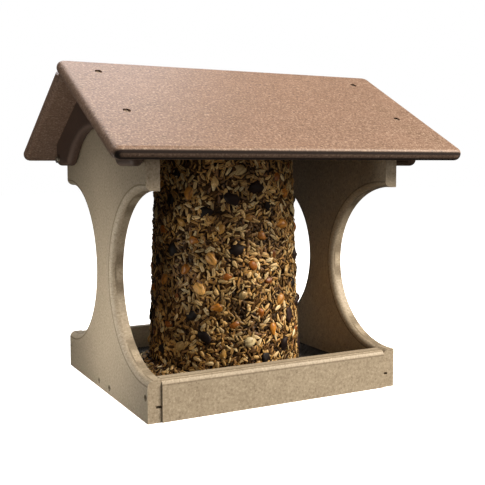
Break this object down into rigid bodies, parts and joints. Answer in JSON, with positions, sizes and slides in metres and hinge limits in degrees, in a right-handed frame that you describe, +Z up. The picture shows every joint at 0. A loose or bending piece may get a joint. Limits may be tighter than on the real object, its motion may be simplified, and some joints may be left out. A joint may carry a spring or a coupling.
{
  "type": "suet log feeder",
  "caption": "House-shaped bird feeder with hourglass end panels, a tray with a screen floor, a gable roof that tilts back and an upright spindle that holds a pressed seed log.",
  "frame": {"origin": "middle of the base, on the plane that the feeder stands on", "axes": "+X along the roof's ridge, -Y to the front, +Z up"},
  "size_m": [0.287, 0.2454, 0.2559],
  "materials": {
    "roof_plastic": "brown recycled plastic board with fine speckle and orange peel",
    "body_plastic": "taupe recycled plastic board with fine speckle and orange peel",
    "roof_screw_coating": "brown coated screw heads",
    "frame_screw_steel": "dark coated screw heads",
    "pivot_steel": "bright plated screw",
    "spindle_steel": "zinc plated rod, nuts and washers",
    "screen_metal": "black powder-coated perforated sheet",
    "pressed_seed": "pressed sunflower, nuts and dried fruit"
  },
  "bodies": {
    "feeder_body": {"end_panel_left": "body_plastic", "end_panel_right": "body_plastic", "tray_rail_front": "body_plastic", "tray_rail_rear": "body_plastic", "support_bar": "body_plastic", "rail_screws_left": "frame_screw_steel", "rail_screws_right": "frame_screw_steel", "bar_screws_left": "frame_screw_steel", "bar_screws_right": "frame_screw_steel", "floor_screen": "screen_metal", "log_spindle": "spindle_steel", "spindle_washer_lower": "spindle_steel", "spindle_nut_lower": "spindle_steel", "spindle_washer_upper": "spindle_steel", "spindle_nut_upper": "spindle_steel", "roof_pivot_screw_left": "pivot_steel", "roof_pivot_screw_right": "pivot_steel"},
    "roof": {"roof_board_front": "roof_plastic", "roof_board_rear": "roof_plastic", "gable_plate_left": "roof_plastic", "gable_plate_right": "roof_plastic", "roof_screws_front_left": "roof_screw_coating", "roof_screws_front_right": "roof_screw_coating", "roof_screws_rear_left": "roof_screw_coating", "roof_screws_rear_right": "roof_screw_coating"},
    "log": {"seed_log": "pressed_seed"}
  },
  "joints": [
    {"name": "roof_tilt", "type": "hinge", "parent": "feeder_body", "child": "roof", "pos_m": [0, 0.0836, 0.18231], "axis": [-1, 0, 0], "range_deg": [0, 70]},
    {"name": "log_turn", "type": "hinge", "parent": "feeder_body", "child": "log", "pos_m": [0, 0, 0], "axis": [0, 0, 1], "continuous": true}
  ]
}
